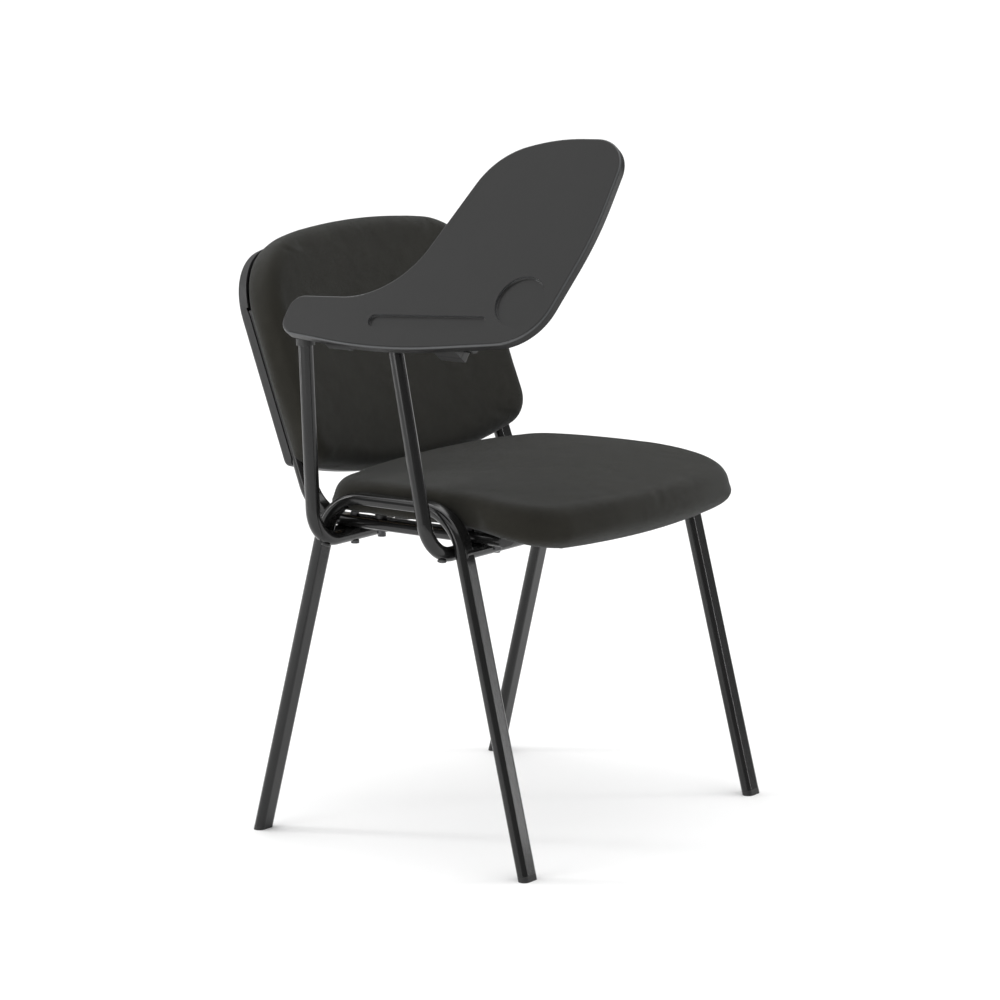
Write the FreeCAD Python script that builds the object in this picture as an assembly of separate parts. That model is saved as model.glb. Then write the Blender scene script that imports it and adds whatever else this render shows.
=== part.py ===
import FreeCAD, Part
import math
import os

os.makedirs("parts", exist_ok=True)

# Conference chair with a folding writing tablet, in millimetres.
# It faces -Y, the sitter's right is -X, +Z is up, and z = 0 is the floor.

# Side frames: one bent flat-oval tube each, standing on two splayed legs
FOOT_HALF_WIDTH = 265.0
FOOT_HALF_DEPTH = 215.9
FRAME_TOP = 462.0
LEG_SLOPE = math.radians(14.15)
FRAME_SPLAY = math.radians(0.92)
FRAME_BEND = 65.0
OVAL_WIDE = 30.0
OVAL_THIN = 15.0
OVAL_WALL = 1.5
FRAME_HALF_TOP = FOOT_HALF_DEPTH - FRAME_TOP * math.tan(LEG_SLOPE)

# Leg plugs: moulded feet in the open ends of the legs
LEG_PLUG_FACE = 6.0
LEG_PLUG_STEM = 22.0
FIT_GAP = 0.1

# Cross tubes, welded between the legs under the back supports
CROSS_RADIUS = 8.0
CROSS_WALL = 1.5

# Back supports: flat-oval tubes that run under the seat and turn up behind it
SUPPORT_INSIDE_FOOT = 45.0
SUPPORT_X = FOOT_HALF_WIDTH - SUPPORT_INSIDE_FOOT
SUPPORT_UNDER_FRAME = 38.5
SUPPORT_Z = FRAME_TOP - SUPPORT_UNDER_FRAME
SUPPORT_BEND = 60.0
PLUG_FACE = 2.5
PLUG_STEM = 9.0

# Screws, bolts, washers, inserts and nuts
SCREW_RADIUS = 3.0
SCREW_PLAY = 0.3
SCREW_HOLE = SCREW_RADIUS + SCREW_PLAY
SCREW_HEAD_RADIUS = 5.5
SCREW_HEAD = 4.0
SOCKET_RADIUS = 2.3
SOCKET_DEPTH = 2.2
WASHER_RADIUS = 7.0
WASHER_THICK = 1.2
INSERT_WALL = 2.0
INSERT_RADIUS = SCREW_RADIUS + INSERT_WALL
SPACER_WALL = 4.7
SPACER_RADIUS = SCREW_HOLE + SPACER_WALL
NUT_RADIUS = 5.6
NUT_HEIGHT = 4.2
NUT_ROOM = 0.6
SPACER_HEIGHT = NUT_HEIGHT + NUT_ROOM
SCREW_END_GAP = 1.5

# Seat: an outline with bowed sides, a crowned top and a front that bends down
SEAT_SIDE_GAP = 1.08
SEAT_HALF_WIDTH = FOOT_HALF_WIDTH - FRAME_TOP * math.tan(FRAME_SPLAY) - OVAL_WIDE / 2 - SEAT_SIDE_GAP
SEAT_PAST_FRAME_FRONT = 134.6
SEAT_FRONT = -FRAME_HALF_TOP - SEAT_PAST_FRAME_FRONT
SEAT_PAST_FRAME_REAR = 37.6
SEAT_REAR = FRAME_HALF_TOP + SEAT_PAST_FRAME_REAR
SEAT_FRONT_BOW = 24.0
SEAT_SIDE_BOW = 5.0
SEAT_REAR_BOW = 6.0
SEAT_FRONT_CORNER = 65.0
SEAT_REAR_CORNER = 45.0
SEAT_CROWN_RADIUS = 2900.0
SEAT_LENGTH_RADIUS = 1420.0
SEAT_PEAK_FROM_REAR = 115.0
SEAT_TOP_ROUND = 22.0
COVER_THICK = 2.0
COVER_INSET = 3.0
BOARD_BOTTOM = SUPPORT_Z + OVAL_THIN / 2 + SPACER_HEIGHT + COVER_THICK
BOARD_THICK = 11.0
BOARD_INSET = 8.0
SEAT_FOAM = 39.4
SEAT_TOP = BOARD_BOTTOM + BOARD_THICK + SEAT_FOAM
SEAT_RIM_DROP = 3.0
SEAT_RIM_BOTTOM = BOARD_BOTTOM - SEAT_RIM_DROP
SEAT_DROP_LENGTH = 119.0
DROP_START = SEAT_FRONT + SEAT_DROP_LENGTH
DROP_RADIUS = 200.0
DROP_SLOPE = math.radians(14.0)
DROP_END = DROP_START - DROP_RADIUS * math.sin(DROP_SLOPE)

# Backrest, measured along its lean (up), across it and through its thickness
BACK_LEAN = math.radians(20.5)
BACK_BEHIND_SEAT = 67.6
BACK_FOOT_Y = SEAT_REAR + BACK_BEHIND_SEAT
BACK_BELOW_SEAT_TOP = 11.3
BACK_FOOT_Z = SEAT_TOP - BACK_BELOW_SEAT_TOP
BACK_PAST_SUPPORT = 21.5
BACK_WIDTH = 2 * (SUPPORT_X + BACK_PAST_SUPPORT)
BACK_SIDE_HEIGHT = 281.0
BACK_TOP_RISE = 33.4
BACK_BOTTOM_DROP = 31.6
BACK_TOP_CORNER = 115.0
BACK_BOTTOM_CORNER = 44.0
PAD_CORNERS = (BACK_BOTTOM_CORNER, BACK_TOP_CORNER)
SHELL_INSET = 5.6
SHELL_BOTTOM_CORNER = 15.0
SHELL_TOP_CORNER = 95.0
SHELL_CORNERS = (SHELL_BOTTOM_CORNER, SHELL_TOP_CORNER)
BACK_CURVE = 2600.0
BACK_THICK = 64.7
BACK_CROWN = 3.0
BACK_FRONT_ROUND = 18.0
SHELL_WALL = 3.0
SHELL_DEPTH = 16.0
SHELL_ROUND = 5.0
BACK_BOARD_REAR = 27.5
BACK_BOARD_THICK = 9.0
BACK_BOARD_INSET = 12.0
SUPPORT_BELOW_BACK_TOP = 70.0
SUPPORT_REACH = BACK_SIDE_HEIGHT - SUPPORT_BELOW_BACK_TOP
BACK_SCREW_LOW = 60.0
BACK_SCREW_BELOW_END = 30.0
BACK_SCREW_UP = (BACK_SCREW_LOW, SUPPORT_REACH - BACK_SCREW_BELOW_END)
SHELL_SCREW_PAST = 100.0
SHELL_SCREW_X = SUPPORT_X - SHELL_SCREW_PAST
SHELL_SCREW_LOW = 55.0
SHELL_SCREW_BELOW_TOP = 54.0
SHELL_SCREW_UP = (SHELL_SCREW_LOW, BACK_SIDE_HEIGHT - SHELL_SCREW_BELOW_TOP)
SHELL_BOSS_RADIUS = 6.0
SHELL_SCREW_RADIUS = 2.0
SHELL_SCREW_HEAD_RADIUS = 4.0
SHELL_SCREW_HEAD = 2.4
SHELL_SCREW_GRIP = 6.0

# Arm: two round posts that turn in under the seat, and the hinge bar on top of them
ARM_OUTSIDE_FOOT = 40.0
ARM_X = -FOOT_HALF_WIDTH - ARM_OUTSIDE_FOOT
ARM_TUBE = 9.5
ARM_TUBE_WALL = 1.5
ARM_BEND = 44.0
ARM_PAST_SUPPORT = 70.0
ARM_REACH = ARM_PAST_SUPPORT - SUPPORT_X
BAR_ABOVE_SEAT = 194.8
BAR_Z = SEAT_TOP + BAR_ABOVE_SEAT
POST_REAR_INSIDE = 7.0
POST_REAR_FOOT_Y = FRAME_HALF_TOP - POST_REAR_INSIDE
BAR_PAST_REAR_POST = 23.1
BAR_REAR = POST_REAR_FOOT_Y + BAR_PAST_REAR_POST
BAR_LENGTH = 277.5
BAR_FRONT = BAR_REAR - BAR_LENGTH
POST_REAR_BAR_END = 11.0
POST_REAR_TOP_Y = BAR_REAR - POST_REAR_BAR_END
POST_TOP_STEP = 142.0
POST_FRONT_TOP_Y = POST_REAR_TOP_Y - POST_TOP_STEP
POST_FRONT_INSIDE = 6.4
POST_FRONT_FOOT_Y = POST_FRONT_INSIDE - FRAME_HALF_TOP
COLLAR_WALL = 2.6
COLLAR_HEIGHT = 9.0
DRAIN_PLUG_TURN = math.radians(22.0)
DRAIN_PLUG_RADIUS = 6.0
DRAIN_PLUG_HEAD = 2.4
DRAIN_PLUG_ROUND = 1.8
DRAIN_PLUG_STEM_RADIUS = 2.5
DRAIN_PLUG_STEM = 4.0

# Seat bolts stand in front of the posts' ends, and the back supports end past them
SEAT_BOLT_STEP = 43.0
SEAT_BOLT_Y = (POST_REAR_FOOT_Y - SEAT_BOLT_STEP, POST_FRONT_FOOT_Y - SEAT_BOLT_STEP)
SUPPORT_PAST_BOLT = 13.0
SUPPORT_FRONT = SEAT_BOLT_Y[1] - SUPPORT_PAST_BOLT

# Arm brackets: stepped steel plates from the post ends up to the seat board
BRACKET_HALF_WIDTH = 12.0
BRACKET_THICK = 2.0
BOLT_PLUG_GAP = 0.7
BRACKET_HOLE_BACK = PLUG_STEM + SCREW_HOLE + BOLT_PLUG_GAP
BRACKET_LOWER = 2 * BRACKET_HOLE_BACK
BRACKET_UPPER = 24.0
BRACKET_BACK = 12.0
WOOD_SCREW_RADIUS = 2.0
WOOD_SCREW_HEAD_RADIUS = 4.0
WOOD_SCREW_HEAD = 2.4
WOOD_SCREW_IN = 8.0
WOOD_SCREW_HALF_PITCH = 7.0

# Hinge: plastic bushes clamped to the tablet, running on the bar
BUSH_CLEARANCE = 0.1
BUSH_WALL = 1.4
BUSH_RADIUS = ARM_TUBE + BUSH_CLEARANCE + BUSH_WALL
CLAMP_BEFORE_POST = 59.5
CLAMP_BAR_END = 30.0
CLAMP_Y = (POST_REAR_TOP_Y - CLAMP_BEFORE_POST, BAR_FRONT + CLAMP_BAR_END)
CLAMP_WALL = 2.0
CLAMP_DEPTH = BUSH_RADIUS + CLAMP_WALL
CLAMP_ROUND = 3.0
CLAMP_SPLIT = 0.3
CLAMP_SCREW_OUTSIDE = 3.6
CLAMP_SCREW_ACROSS = BUSH_RADIUS + CLAMP_SCREW_OUTSIDE
CLAMP_SCREW_EDGE = 4.4
CLAMP_HALF_WIDTH = CLAMP_SCREW_ACROSS + CLAMP_SCREW_EDGE
CLAMP_SCREW_ALONG = 12.0
CLAMP_SCREW_END = 7.0
CLAMP_HALF_LENGTH = CLAMP_SCREW_ALONG + CLAMP_SCREW_END
CLAMP_SCREW_RADIUS = 2.0
CLAMP_SCREW_HEAD_RADIUS = 3.4
CLAMP_SCREW_HEAD = 2.4
CLAMP_SCREW_IN = 8.0

# Tablet: across (away from the hinge bar), along Y from the bar's rear end, and out of its face
TABLET_TILT = 54.0
TABLET_DEPTH = 13.0
TABLET_ABOVE_CLAMP = 4.0
TABLET_FOOT = CLAMP_DEPTH + TABLET_ABOVE_CLAMP
TABLET_TOP = TABLET_FOOT + TABLET_DEPTH
TABLET_PLATE = 3.6
TABLET_RIM = 3.0
TABLET_TOP_ROUND = 3.4
TABLET_FOOT_ROUND = 1.4
TABLET_OUTLINE = (
    (-21.4, 5.2, 22.3),
    (31.9, 3.1, 20.8),
    (41.3, -150.8, 117.0),
    (254.2, -220.8, 93.4),
    (284.8, -301.3, 249.0),
    (289.6, -411.0, 46.9),
    (151.7, -412.0, 467.0),
    (-3.3, -381.3, 73.4),
    (-35.1, -160.4, 742.0),
)
CUP_ACROSS = 51.8
CUP_ALONG = -342.8
CUP_RADIUS = 35.0
RECESS_DEPTH = 3.8
RECESS_FLOOR = 2.2
CUP_ROUND = 2.0
GROOVE_REAR = (6.5, -137.5)
GROOVE_FRONT = (18.1, -295.5)
GROOVE_HALF_WIDTH = 8.5
RIB_PITCH = 46.0
RIB_THICK = 2.0
RIB_DEPTH = 8.0

OVERRUN = 5.0
FAR = 900.0

UP = FreeCAD.Vector(0, 0, 1)
ACROSS = FreeCAD.Vector(1, 0, 0)
REARWARD = FreeCAD.Vector(0, 1, 0)
ORIGIN = FreeCAD.Vector(0, 0, 0)


def point(x, y, z):
    return FreeCAD.Vector(x, y, z)


def corner_arc(before, corner, after, radius):
    """The tangent arc that rounds a corner: its start, middle and end."""
    back = (before - corner).normalize()
    ahead = (after - corner).normalize()
    half_angle = back.getAngle(ahead) / 2
    tangent = radius / math.tan(half_angle)
    centre = corner + (back + ahead).normalize() * (radius / math.sin(half_angle))
    middle = centre + (corner - centre).normalize() * radius
    return corner + back * tangent, middle, corner + ahead * tangent


def bent_path(points, radius):
    """Straight runs through the points, joined by tangent arcs of one radius."""
    edges = []
    start = points[0]
    for before, corner, after in zip(points, points[1:], points[2:]):
        first, middle, last = corner_arc(before, corner, after, radius)
        edges.append(Part.LineSegment(start, first).toShape())
        edges.append(Part.Arc(first, middle, last).toShape())
        start = last
    edges.append(Part.LineSegment(start, points[-1]).toShape())
    return Part.Wire(edges)


def oval_section(centre, direction, wide, thin):
    """A flat-oval wire: flats along X, round ends, square to the direction."""
    out = direction.cross(ACROSS).normalize() * (thin / 2)
    flat = ACROSS * ((wide - thin) / 2)
    end = ACROSS * (wide / 2)
    return Part.Wire([
        Part.LineSegment(centre - flat + out, centre + flat + out).toShape(),
        Part.Arc(centre + flat + out, centre + end, centre + flat - out).toShape(),
        Part.LineSegment(centre + flat - out, centre - flat - out).toShape(),
        Part.Arc(centre - flat - out, centre - end, centre - flat + out).toShape(),
    ])


def round_section(centre, direction, radius):
    return Part.Wire(Part.Circle(centre, direction, radius).toShape())


def swept(path, section):
    return path.makePipeShell([section], True, False)


def oval_tube(points, radius, wall):
    """A bent flat-oval tube and, as a second solid, its filled envelope."""
    path = bent_path(points, radius)
    direction = points[1] - points[0]
    outer = swept(path, oval_section(points[0], direction, OVAL_WIDE, OVAL_THIN))
    bore_wide = OVAL_WIDE - 2 * wall
    bore_thin = OVAL_THIN - 2 * wall
    inner = swept(path, oval_section(points[0], direction, bore_wide, bore_thin))
    return outer.cut(inner), outer


def round_tube(points, bend, radius, wall):
    path = bent_path(points, bend)
    direction = points[1] - points[0]
    outer = swept(path, round_section(points[0], direction, radius))
    inner = swept(path, round_section(points[0], direction, radius - wall))
    return outer.cut(inner)


def rod(radius, start, end):
    return Part.makeCylinder(radius, (end - start).Length, start, end - start)


def block(low, high):
    size = high - low
    return Part.makeBox(size.x, size.y, size.z, low)


def hexagon(radius, height, centre, direction=UP):
    """A six-sided prism: corners at the radius, standing on its centre point."""
    corners = []
    for turn in range(7):
        angle = turn * math.pi / 3
        corners.append(point(radius * math.cos(angle), radius * math.sin(angle), 0))
    prism = Part.Face(Part.makePolygon(corners)).extrude(UP * height)
    prism.Placement = FreeCAD.Placement(centre, FreeCAD.Rotation(UP, direction))
    return prism


def bolt(head_end, neck, tip):
    """A socket-head bolt: its head from the open end to the neck, its shank on to the tip."""
    along = (tip - head_end).normalize()
    whole = fused([rod(SCREW_HEAD_RADIUS, head_end, neck), rod(SCREW_RADIUS, head_end, tip)])
    return whole.cut(hexagon(SOCKET_RADIUS, SOCKET_DEPTH, head_end, along))


def fused(shapes):
    whole = shapes[0]
    for shape in shapes[1:]:
        whole = whole.fuse(shape)
    return whole.removeSplitter()


def bowed_prism(corners, bows, radii, rise):
    """A prism over four corners, with sides bowed out and corners rounded."""
    edges = []
    for index, corner in enumerate(corners):
        after = corners[(index + 1) % len(corners)]
        if bows[index].Length:
            edges.append(Part.Arc(corner, (corner + after) * 0.5 + bows[index], after).toShape())
        else:
            edges.append(Part.LineSegment(corner, after).toShape())
    prism = Part.Face(Part.Wire(edges)).extrude(rise)
    for corner, radius in zip(corners, radii):
        middle = Part.Vertex(corner + rise * 0.5)
        nearest = min(prism.Edges, key=lambda edge: edge.distToShape(middle)[0])
        prism = prism.makeFillet(radius, [nearest])
    return prism


def rounded(shape, chosen, radius):
    """Fillet the edges of a shape that a test picks."""
    return shape.makeFillet(radius, [edge for edge in shape.Edges if chosen(edge)])


parts = {}


def keep(name, shapes):
    """Store the solids of one node, to be written at the end."""
    if not isinstance(shapes, list):
        shapes = [shapes]
    solids = []
    for shape in shapes:
        solids.extend(shape.Solids)
    parts[name] = Part.makeCompound(solids)


# Side frames and their feet

def leg_y(height):
    """How far the legs stand from the middle at a height."""
    return FOOT_HALF_DEPTH - height * math.tan(LEG_SLOPE)


def splayed(shape, side):
    """Lean a shape drawn on the middle plane in, and move it out to its side."""
    moved = shape.copy()
    moved.rotate(ORIGIN, REARWARD, -side * math.degrees(FRAME_SPLAY))
    moved.translate(ACROSS * (side * FOOT_HALF_WIDTH))
    return moved


frame_points = [
    point(0, leg_y(LEG_PLUG_FACE), LEG_PLUG_FACE),
    point(0, leg_y(FRAME_TOP), FRAME_TOP),
    point(0, -leg_y(FRAME_TOP), FRAME_TOP),
    point(0, -leg_y(LEG_PLUG_FACE), LEG_PLUG_FACE),
]
frame_tube, frame_envelope = oval_tube(frame_points, FRAME_BEND, OVAL_WALL)
frame_envelopes = []
for name, side in (("side_frame_right", -1), ("side_frame_left", 1)):
    frame_envelopes.append(splayed(frame_envelope, side))
    keep(name, splayed(frame_tube, side))


def oval_bar(start, end, wide, thin):
    section = oval_section(start, end - start, wide, thin)
    return Part.Face(section).extrude(end - start)


def oval_plug(end, outward, face_depth, stem_depth):
    """A plug whose face covers a flat-oval tube's end and whose stem fits its bore."""
    face = oval_bar(end, end + outward * face_depth, OVAL_WIDE, OVAL_THIN)
    bore_wide = OVAL_WIDE - 2 * (OVAL_WALL + FIT_GAP)
    bore_thin = OVAL_THIN - 2 * (OVAL_WALL + FIT_GAP)
    stem = oval_bar(end - outward * stem_depth, end, bore_wide, bore_thin)
    return fused([face, stem])


floor_cut = block(point(-FAR, -FAR, -FAR), point(FAR, FAR, 0))
leg_plugs = []
for side in (-1, 1):
    for end_sign in (-1, 1):
        end = point(0, end_sign * leg_y(LEG_PLUG_FACE), LEG_PLUG_FACE)
        outward = point(0, end_sign * math.sin(LEG_SLOPE), -math.cos(LEG_SLOPE))
        plug = oval_plug(end, outward, 2 * LEG_PLUG_FACE, LEG_PLUG_STEM)
        leg_plugs.append(splayed(plug, side).cut(floor_cut))
keep("leg_plugs", leg_plugs)

# Cross tubes

cross_z = SUPPORT_Z - OVAL_THIN / 2 - CROSS_RADIUS
for name, end_sign in (("rear_cross_tube", 1), ("front_cross_tube", -1)):
    left = point(-FOOT_HALF_WIDTH, end_sign * leg_y(cross_z), cross_z)
    right = point(FOOT_HALF_WIDTH, end_sign * leg_y(cross_z), cross_z)
    tube = rod(CROSS_RADIUS, left, right).cut(rod(CROSS_RADIUS - CROSS_WALL, left, right))
    for envelope in frame_envelopes:
        tube = tube.cut(envelope)
    middle_piece = max(tube.Solids, key=lambda solid: solid.Volume)
    keep(name, middle_piece)

# Backrest frame of reference: across is X, up is along the lean, depth is forward

def lean(shape):
    """Place a shape drawn upright at the origin (front towards -Y) on the backrest."""
    moved = shape.copy()
    moved.rotate(ORIGIN, ACROSS, -math.degrees(BACK_LEAN))
    moved.translate(point(0, BACK_FOOT_Y, BACK_FOOT_Z))
    return moved


def back_point(x, depth, up):
    """The place of a backrest point that lies a depth in front of its rearmost line."""
    y = BACK_FOOT_Y + up * math.sin(BACK_LEAN) - depth * math.cos(BACK_LEAN)
    z = BACK_FOOT_Z + up * math.cos(BACK_LEAN) + depth * math.sin(BACK_LEAN)
    return point(x, y, z)


def curve_depth(x):
    """How far the curved back comes forward at a distance from its middle."""
    return BACK_CURVE - math.sqrt(BACK_CURVE ** 2 - x ** 2)


support_inner_edge = SUPPORT_X - OVAL_WIDE / 2
support_depth = BACK_BOARD_REAR + curve_depth(support_inner_edge) - OVAL_THIN / 2 - FIT_GAP
support_top = back_point(0, support_depth, SUPPORT_REACH)
knee_drop = support_top.z - SUPPORT_Z
support_knee = point(0, support_top.y - knee_drop * math.tan(BACK_LEAN), SUPPORT_Z)
support_end = point(0, SUPPORT_FRONT, SUPPORT_Z)
support_points = [support_top, support_knee, support_end]
support_tube = oval_tube(support_points, SUPPORT_BEND, OVAL_WALL)[0]


def seat_bolt_holes(side):
    holes = []
    for bolt_y in SEAT_BOLT_Y:
        low = point(side * SUPPORT_X, bolt_y, SUPPORT_Z - OVAL_THIN)
        high = point(side * SUPPORT_X, bolt_y, SUPPORT_Z + OVAL_THIN)
        holes.append(rod(SCREW_HOLE, low, high))
    return holes


def back_screw_line(side, up, near, far):
    """Two points on a back screw's axis, at two depths."""
    return back_point(side * SUPPORT_X, near, up), back_point(side * SUPPORT_X, far, up)


for name, side in (("back_support_right", -1), ("back_support_left", 1)):
    tube = support_tube.translated(ACROSS * (side * SUPPORT_X))
    for hole in seat_bolt_holes(side):
        tube = tube.cut(hole)
    for up in BACK_SCREW_UP:
        near, far = back_screw_line(side, up, support_depth - OVAL_THIN, support_depth + OVAL_THIN)
        tube = tube.cut(rod(SCREW_HOLE, near, far))
    if side < 0:
        for post_y in (POST_REAR_FOOT_Y, POST_FRONT_FOOT_Y):
            low = point(-SUPPORT_X, post_y, SUPPORT_Z - OVAL_THIN)
            high = point(-SUPPORT_X, post_y, SUPPORT_Z + OVAL_THIN)
            tube = tube.cut(rod(SCREW_HOLE, low, high))
    keep(name, tube)

# Plugs in the open ends of the back supports

support_plugs = []
for side in (-1, 1):
    shift = ACROSS * (side * SUPPORT_X)
    up_lean = (support_top - support_knee).normalize()
    support_plugs.append(oval_plug(support_end + shift, REARWARD * -1, PLUG_FACE, PLUG_STEM))
    support_plugs.append(oval_plug(support_top + shift, up_lean, PLUG_FACE, PLUG_STEM))
keep("support_plugs", support_plugs)

# Seat

def front_drop(y):
    """How far the bent front of the seat board lies below its flat part."""
    if y >= DROP_START:
        return 0.0
    in_bend = DROP_START - max(y, DROP_END)
    bend_drop = DROP_RADIUS - math.sqrt(DROP_RADIUS ** 2 - in_bend ** 2)
    return bend_drop + max(DROP_END - y, 0) * math.tan(DROP_SLOPE)


def seat_prism(inset, low, high):
    """The seat's outline, drawn in by an inset, as an upright prism."""
    half = SEAT_HALF_WIDTH - SEAT_SIDE_BOW - inset
    front = SEAT_FRONT + SEAT_FRONT_BOW + inset
    rear = SEAT_REAR - SEAT_REAR_BOW - inset
    corners = (
        point(-half, front, low),
        point(half, front, low),
        point(half, rear, low),
        point(-half, rear, low),
    )
    bows = (
        REARWARD * -SEAT_FRONT_BOW,
        ACROSS * SEAT_SIDE_BOW,
        REARWARD * SEAT_REAR_BOW,
        ACROSS * -SEAT_SIDE_BOW,
    )
    front_radius = SEAT_FRONT_CORNER - inset
    rear_radius = SEAT_REAR_CORNER - inset
    radii = (front_radius, front_radius, rear_radius, rear_radius)
    return bowed_prism(corners, bows, radii, UP * (high - low))


def seat_strip(low, high):
    """A sheet as wide as the seat, flat and then bent down at the front, between two heights."""
    front = SEAT_FRONT - OVERRUN
    bend_middle = (DROP_START + DROP_END) / 2
    stations = (SEAT_REAR + OVERRUN, DROP_START, bend_middle, DROP_END, front)

    def edge_points(height):
        return [point(-SEAT_HALF_WIDTH, y, height - front_drop(y)) for y in stations]

    top = edge_points(high)
    foot = edge_points(low)
    profile = Part.Wire([
        Part.LineSegment(top[0], top[1]).toShape(),
        Part.Arc(top[1], top[2], top[3]).toShape(),
        Part.LineSegment(top[3], top[4]).toShape(),
        Part.LineSegment(top[4], foot[4]).toShape(),
        Part.LineSegment(foot[4], foot[3]).toShape(),
        Part.Arc(foot[3], foot[2], foot[1]).toShape(),
        Part.LineSegment(foot[1], foot[0]).toShape(),
        Part.LineSegment(foot[0], top[0]).toShape(),
    ])
    return Part.Face(profile).extrude(ACROSS * (2 * SEAT_HALF_WIDTH))


board_top = BOARD_BOTTOM + BOARD_THICK
cover_bottom = BOARD_BOTTOM - COVER_THICK
outline_low = BOARD_BOTTOM - FAR / 4
seat_board = seat_prism(BOARD_INSET, outline_low, FRAME_TOP).common(seat_strip(BOARD_BOTTOM, board_top))
cover_inset = BOARD_INSET + COVER_INSET
seat_cover = seat_prism(cover_inset, outline_low, FRAME_TOP).common(seat_strip(cover_bottom, BOARD_BOTTOM))

# The cushion's top is a face curved both ways, turned about an axis far under the seat
seat_peak = SEAT_REAR - SEAT_PEAK_FROM_REAR
seat_axis = point(0, seat_peak, SEAT_TOP - SEAT_CROWN_RADIUS)


def crown_fall(y):
    """How far the seat's middle line has fallen from its peak."""
    return SEAT_LENGTH_RADIUS - math.sqrt(SEAT_LENGTH_RADIUS ** 2 - (y - seat_peak) ** 2)


crown_front = SEAT_FRONT - OVERRUN
crown_rear = SEAT_REAR + OVERRUN
crown_profile = Part.Face(Part.Wire([
    Part.Arc(
        point(0, crown_front, SEAT_TOP - crown_fall(crown_front)),
        point(0, seat_peak, SEAT_TOP),
        point(0, crown_rear, SEAT_TOP - crown_fall(crown_rear)),
    ).toShape(),
    Part.LineSegment(
        point(0, crown_rear, SEAT_TOP - crown_fall(crown_rear)),
        point(0, crown_rear, outline_low),
    ).toShape(),
    Part.LineSegment(point(0, crown_rear, outline_low), point(0, crown_front, outline_low)).toShape(),
    Part.LineSegment(
        point(0, crown_front, outline_low),
        point(0, crown_front, SEAT_TOP - crown_fall(crown_front)),
    ).toShape(),
]))
crown_turn = math.degrees(2 * SEAT_HALF_WIDTH / SEAT_CROWN_RADIUS)
crown_profile.rotate(seat_axis, REARWARD, -crown_turn)
seat_crown = crown_profile.revolve(seat_axis, REARWARD, 2 * crown_turn)
seat_high = SEAT_TOP + 2 * front_drop(crown_front)
seat_cushion = seat_prism(0, outline_low, seat_high).common(seat_strip(SEAT_RIM_BOTTOM, seat_high))
seat_cushion = seat_cushion.common(seat_crown)


def on_seat_top(edge):
    middle = edge.valueAt((edge.FirstParameter + edge.LastParameter) / 2)
    from_axis = math.hypot(middle.x, middle.z - seat_axis.z)
    ring_base = SEAT_CROWN_RADIUS - SEAT_LENGTH_RADIUS
    from_ring = math.hypot(from_axis - ring_base, middle.y - seat_peak)
    return abs(from_ring - SEAT_LENGTH_RADIUS) < FIT_GAP


seat_cushion = rounded(seat_cushion, on_seat_top, SEAT_TOP_ROUND)
pocket = seat_prism(BOARD_INSET - FIT_GAP, outline_low, FRAME_TOP)
pocket = pocket.common(seat_strip(BOARD_BOTTOM - FAR / 4, board_top + FIT_GAP))
seat_cushion = seat_cushion.cut(pocket)

# Seat bolts, washers, spacers and inserts

support_bottom = SUPPORT_Z - OVAL_THIN / 2
support_roof = SUPPORT_Z + OVAL_THIN / 2
bolts = []
washers = []
spacers = []
inserts = []
under_cover = seat_strip(BOARD_BOTTOM - FAR / 4, cover_bottom)
for side in (-1, 1):
    for bolt_y in SEAT_BOLT_Y:
        foot = point(side * SUPPORT_X, bolt_y, support_bottom)
        roof = point(side * SUPPORT_X, bolt_y, support_roof)
        tip = point(side * SUPPORT_X, bolt_y, board_top - front_drop(bolt_y) - SCREW_END_GAP)
        washer_foot = foot - UP * WASHER_THICK
        head_foot = washer_foot - UP * SCREW_HEAD
        bolts.append(bolt(head_foot, washer_foot, tip))
        washers.append(rod(WASHER_RADIUS, washer_foot, foot).cut(rod(SCREW_HOLE, washer_foot, foot)))
        spacer = rod(SPACER_RADIUS, roof, tip).cut(rod(SCREW_HOLE, roof, tip))
        spacers.append(spacer.common(under_cover))
        through = rod(INSERT_RADIUS, roof, tip + UP * OVERRUN)
        clear = rod(SCREW_HOLE, roof, tip + UP * OVERRUN)
        inserts.append(through.common(seat_board).cut(rod(SCREW_RADIUS, roof, tip + UP * OVERRUN)))
        seat_board = seat_board.cut(through)
        seat_cover = seat_cover.cut(clear)
keep("seat_bolts", bolts)
keep("seat_washers", washers)
keep("seat_spacers", spacers)
keep("seat_inserts", inserts)

# Backrest

def back_outline(inset, corner_radii, near, far):
    """The backrest's outline as a prism between two depths, drawn upright."""
    half = BACK_WIDTH / 2 - inset
    high = BACK_SIDE_HEIGHT - inset
    corners = (
        point(-half, -near, inset),
        point(half, -near, inset),
        point(half, -near, high),
        point(-half, -near, high),
    )
    bows = (UP * -BACK_BOTTOM_DROP, ORIGIN, UP * BACK_TOP_RISE, ORIGIN)
    bottom_corner, top_corner = corner_radii
    foot_radius = max(bottom_corner - inset, bottom_corner / 4)
    top_radius = top_corner - inset
    radii = (foot_radius, foot_radius, top_radius, top_radius)
    return bowed_prism(corners, bows, radii, REARWARD * (near - far))


def ring(near, far):
    """The space between two depths of the curved back, drawn upright."""
    low = -BACK_BOTTOM_DROP - BACK_SIDE_HEIGHT
    base = point(0, -BACK_CURVE, low)
    height = 3 * BACK_SIDE_HEIGHT
    outer = Part.makeCylinder(BACK_CURVE - near, height, base, UP)
    return outer.cut(Part.makeCylinder(BACK_CURVE - far, height, base, UP))


depth_low = -OVERRUN
depth_high = BACK_THICK + curve_depth(BACK_WIDTH / 2) + OVERRUN


def back_panel(inset, corner_radii, near, far):
    outline = back_outline(inset, corner_radii, depth_low, depth_high)
    return outline.common(ring(near, far))


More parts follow.
